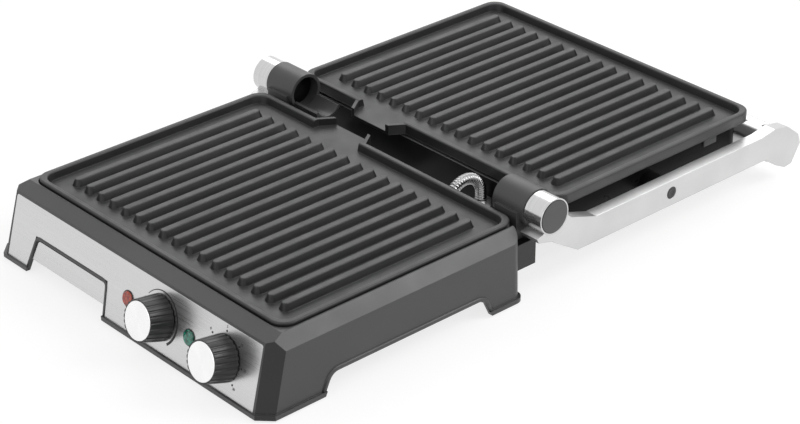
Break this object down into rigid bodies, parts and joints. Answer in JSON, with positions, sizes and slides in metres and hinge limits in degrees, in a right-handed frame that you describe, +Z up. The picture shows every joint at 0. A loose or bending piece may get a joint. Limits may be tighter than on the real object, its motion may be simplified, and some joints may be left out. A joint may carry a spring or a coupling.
{
  "type": "electric contact grill",
  "caption": "Electric contact grill opened flat: ribbed non-stick plates on a drip-tray base and on a floating lid, linked by side arms with a handle, dial controls on a steel front.",
  "frame": {"origin": "on the table, under the middle of the opened grill, with the hinge axis above it along X", "axes": "+X along the hinge axis to the right of someone at the controls, +Y from the controls towards the lid, +Z up"},
  "size_m": [0.3256, 0.5624, 0.0783],
  "materials": {
    "cap_metal": "spun",
    "cast_arm_metal": "satin painted die casting",
    "conduit_steel": "ribbed steel strip",
    "dark_plastic": "satin dark grey",
    "element_steel": "plain steel",
    "green_lens": "clear green",
    "housing_plastic": "fine satin texture, charcoal",
    "knob_plastic": "satin black",
    "lamp_glass": "clear",
    "latch_plastic": "mid grey",
    "nonstick_aluminium": "charcoal non-stick coating",
    "panel_steel": "brushed along the panel",
    "red_lens": "clear red",
    "rubber": "matte",
    "screw_steel": "blackened",
    "sheet_steel": "aluminised sheet"
  },
  "bodies": {
    "base": {"base_bottom_cover": "housing_plastic", "base_feet": "rubber", "base_housing": "housing_plastic", "base_screws": "screw_steel", "conduit": "conduit_steel", "conduit_gland_base": "cast_arm_metal", "cord_gland": "housing_plastic", "drip_guard": "housing_plastic", "front_panel": "panel_steel", "hinge_pins": "element_steel", "hinge_sleeve_left": "housing_plastic", "hinge_sleeve_right": "housing_plastic", "indicator_lamps": "lamp_glass", "lower_heater_pan": "sheet_steel", "lower_heating_element": "element_steel", "lower_plate": "nonstick_aluminium", "power_lens": "red_lens", "ready_lens": "green_lens", "thermostat_body": "dark_plastic", "timer_body": "dark_plastic"},
    "thermostat_dial": {"thermostat_knob": "knob_plastic", "thermostat_knob_cap": "cap_metal", "thermostat_shaft": "element_steel"},
    "timer_dial": {"timer_knob": "knob_plastic", "timer_knob_cap": "cap_metal", "timer_shaft": "element_steel"},
    "tray": {"drip_tray": "dark_plastic", "drip_tray_front": "panel_steel"},
    "lower_latch": {"lower_plate_latch": "latch_plastic"},
    "arms": {"left_arm": "cast_arm_metal", "right_arm": "cast_arm_metal", "hub_caps": "dark_plastic", "handle_bar": "cast_arm_metal", "handle_screws": "screw_steel", "pivot_bolts": "screw_steel"},
    "lid": {"lid_cover": "housing_plastic", "lid_frame": "housing_plastic", "lid_heater_pan": "sheet_steel", "lid_heating_element": "element_steel", "upper_plate": "nonstick_aluminium", "lid_rest_pads": "rubber", "conduit_gland_lid": "cast_arm_metal"},
    "upper_latch": {"upper_plate_latch": "latch_plastic"}
  },
  "joints": [
    {"name": "lid_hinge", "type": "hinge", "parent": "base", "child": "arms", "pos_m": [0, 0, 0.0633], "axis": [1, 0, 0], "range_deg": [0, 180], "deforming": ["conduit"]},
    {"name": "lid_float", "type": "hinge", "parent": "arms", "child": "lid", "pos_m": [0, 0.127, 0.0368], "axis": [-1, 0, 0], "range_deg": [-8, 0.5]},
    {"name": "thermostat_turn", "type": "hinge", "parent": "base", "child": "thermostat_dial", "pos_m": [0.0362, -0.26062, 0.0285], "axis": [0, 0.969, -0.247], "range_deg": [0, 270]},
    {"name": "timer_turn", "type": "hinge", "parent": "base", "child": "timer_dial", "pos_m": [0.1072, -0.26062, 0.0285], "axis": [0, 0.969, -0.247], "range_deg": [0, 240]},
    {"name": "tray_slide", "type": "slide", "parent": "base", "child": "tray", "axis": [0, -1, 0], "range_m": [0, 0.255]},
    {"name": "lower_latch_press", "type": "slide", "parent": "base", "child": "lower_latch", "axis": [1, 0, 0], "range_m": [0, 0.0025], "stiffness_N_per_m": 600},
    {"name": "upper_latch_press", "type": "slide", "parent": "lid", "child": "upper_latch", "axis": [-1, 0, 0], "range_m": [0, 0.0025], "stiffness_N_per_m": 600}
  ]
}
